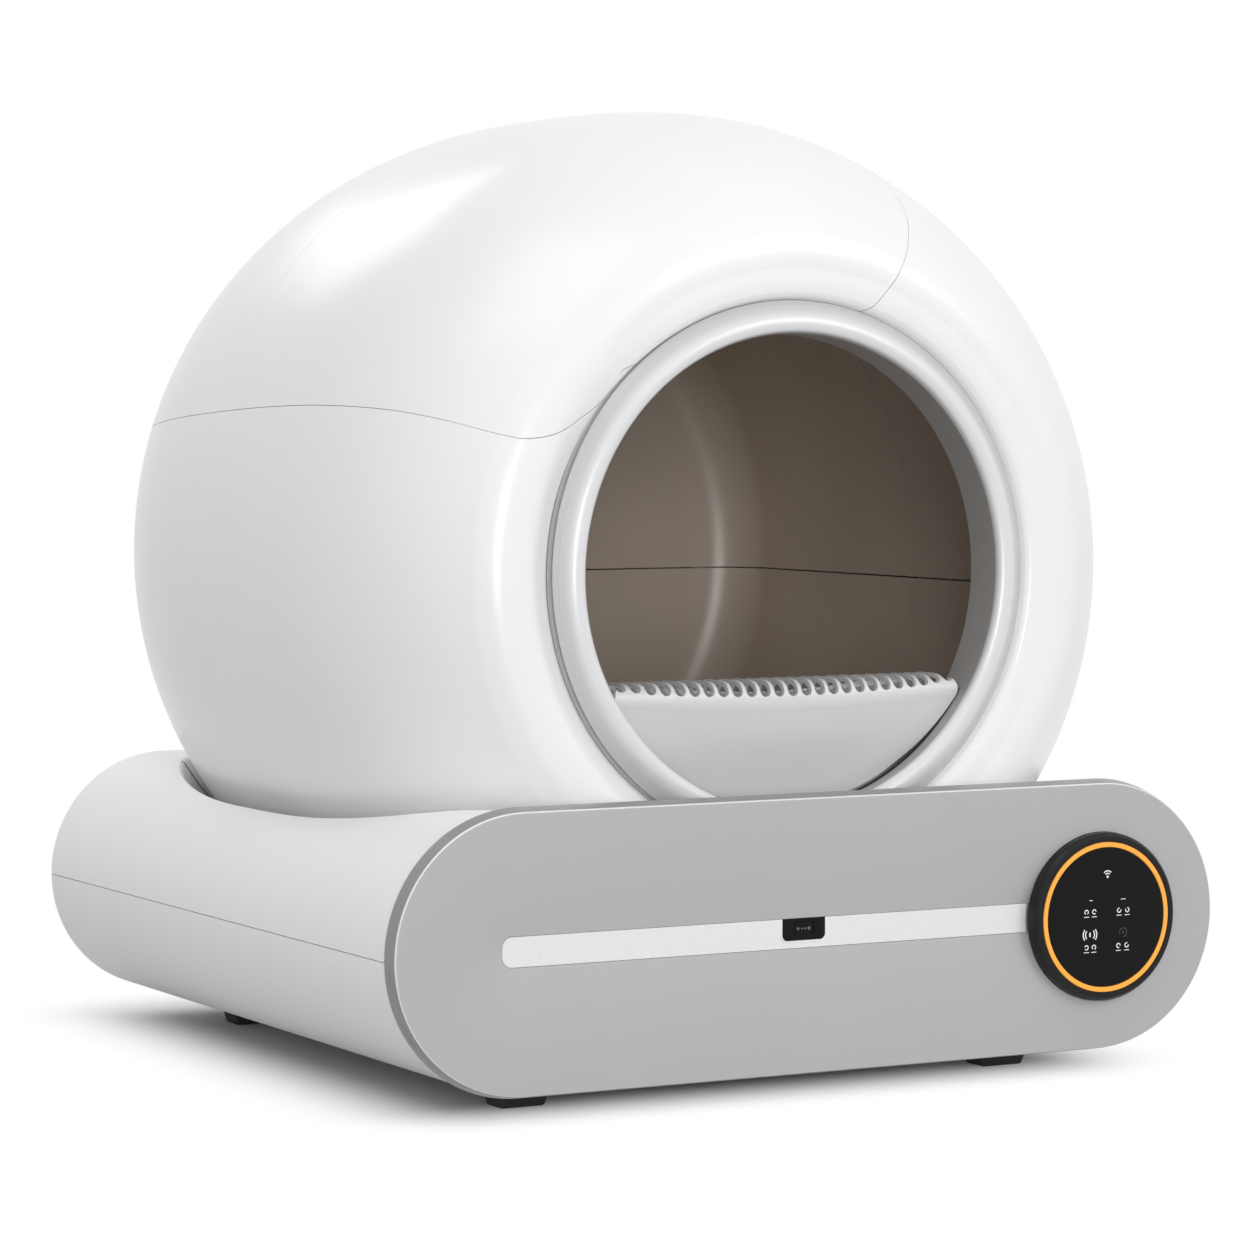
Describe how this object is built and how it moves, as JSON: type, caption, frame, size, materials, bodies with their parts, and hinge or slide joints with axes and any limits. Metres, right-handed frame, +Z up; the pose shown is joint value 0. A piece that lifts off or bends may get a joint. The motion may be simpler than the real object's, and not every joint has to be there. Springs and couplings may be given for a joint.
{
  "type": "self cleaning litter box",
  "caption": "White globe litter box with a round mouth, a drum turning on rollers inside, and a low capsule base with a silver front, a round control disc and a rear waste drawer.",
  "frame": {"origin": "centre of the footprint, on the floor", "axes": "+X to the right seen from the front, +Y from the mouth to the back, +Z up"},
  "size_m": [0.5462, 0.5278, 0.5756],
  "materials": {
    "globe_white": "smooth gloss",
    "base_white": "satin",
    "ring_white": "satin gloss",
    "silver": "satin silver paint",
    "pearl": "diffusing strip, unlit",
    "black_plastic": "fine satin",
    "black_glass": "polished",
    "orange_light": "lit diffuser",
    "circuit_board": "solder mask",
    "grey_plastic": "moulded",
    "rubber": "matte",
    "steel": "plain",
    "nylon": "moulded",
    "taupe": "fine texture"
  },
  "bodies": {
    "base": {"base_lower_shell": "base_white", "base_upper_shell": "base_white", "fascia_panel": "silver", "light_bar": "pearl", "sensor_window": "black_plastic", "sensor_lens": "black_glass", "control_disc_body": "black_plastic", "control_light_ring": "orange_light", "control_glass": "black_glass", "display_board": "circuit_board", "main_board": "circuit_board", "inner_deck": "grey_plastic", "power_inlet": "black_plastic", "foot_front_left": "rubber", "foot_front_right": "rubber", "foot_rear_left": "rubber", "foot_rear_right": "rubber", "load_cell_front_left": "steel", "load_cell_front_right": "steel", "load_cell_rear_left": "steel", "load_cell_rear_right": "steel", "case_screw_1": "steel", "case_screw_2": "steel", "case_screw_3": "steel", "case_screw_4": "steel", "housing_front_shell": "globe_white", "housing_rear_shell": "globe_white", "gear_motor": "grey_plastic", "motor_mount": "grey_plastic", "roller_axle_front_left": "steel", "roller_axle_front_right": "steel", "roller_axle_rear_left": "steel", "roller_axle_rear_right": "steel", "roller_bracket_front_left": "grey_plastic", "roller_bracket_front_right": "grey_plastic", "roller_bracket_rear_left": "grey_plastic", "roller_bracket_rear_right": "grey_plastic"},
    "cover": {"cover_front_shell": "globe_white", "cover_rear_shell": "globe_white"},
    "drum": {"drum_front_upper": "taupe", "drum_front_lower": "taupe", "drum_rear_upper": "taupe", "drum_rear_lower": "taupe", "ring_gear": "nylon", "mouth_ring": "ring_white", "slotted_lip": "ring_white", "sieve_grille": "grey_plastic"},
    "pinion": {"drive_pinion": "nylon", "motor_shaft": "steel"},
    "roller_front_left": {"roller_front_left": "rubber"},
    "roller_front_right": {"roller_front_right": "rubber"},
    "roller_rear_left": {"roller_rear_left": "rubber"},
    "roller_rear_right": {"roller_rear_right": "rubber"},
    "drawer": {"waste_drawer": "grey_plastic", "drawer_front": "base_white"}
  },
  "joints": [
    {"name": "drum_spin", "type": "hinge", "parent": "base", "child": "drum", "pos_m": [0, 0, 0.30115], "axis": [0, 1, 0], "continuous": true},
    {"name": "pinion_spin", "type": "hinge", "parent": "base", "child": "pinion", "pos_m": [0.12686, -0.15, 0.08142], "axis": [0, 1, 0], "continuous": true},
    {"name": "roller_front_left_spin", "type": "hinge", "parent": "base", "child": "roller_front_left", "pos_m": [-0.126, -0.11695, 0.10361], "axis": [0, 1, 0], "continuous": true},
    {"name": "roller_front_right_spin", "type": "hinge", "parent": "base", "child": "roller_front_right", "pos_m": [0.126, -0.11695, 0.10361], "axis": [0, 1, 0], "continuous": true},
    {"name": "roller_rear_left_spin", "type": "hinge", "parent": "base", "child": "roller_rear_left", "pos_m": [-0.126, 0.14705, 0.10361], "axis": [0, 1, 0], "continuous": true},
    {"name": "roller_rear_right_spin", "type": "hinge", "parent": "base", "child": "roller_rear_right", "pos_m": [0.126, 0.14705, 0.10361], "axis": [0, 1, 0], "continuous": true},
    {"name": "drawer_slide", "type": "slide", "parent": "base", "child": "drawer", "axis": [0, 1, 0], "range_m": [0, 0.3]},
    {"name": "cover_lift", "type": "slide", "parent": "base", "child": "cover", "axis": [0, 0, 1], "range_m": [0, 0.3]}
  ],
  "couplings": [
    {"joint": "pinion_spin", "follows": "drum_spin", "ratio": -8},
    {"joint": "roller_front_left_spin", "follows": "drum_spin", "ratio": -13.625},
    {"joint": "roller_front_right_spin", "follows": "drum_spin", "ratio": -13.625},
    {"joint": "roller_rear_left_spin", "follows": "drum_spin", "ratio": -13.625},
    {"joint": "roller_rear_right_spin", "follows": "drum_spin", "ratio": -13.625}
  ]
}
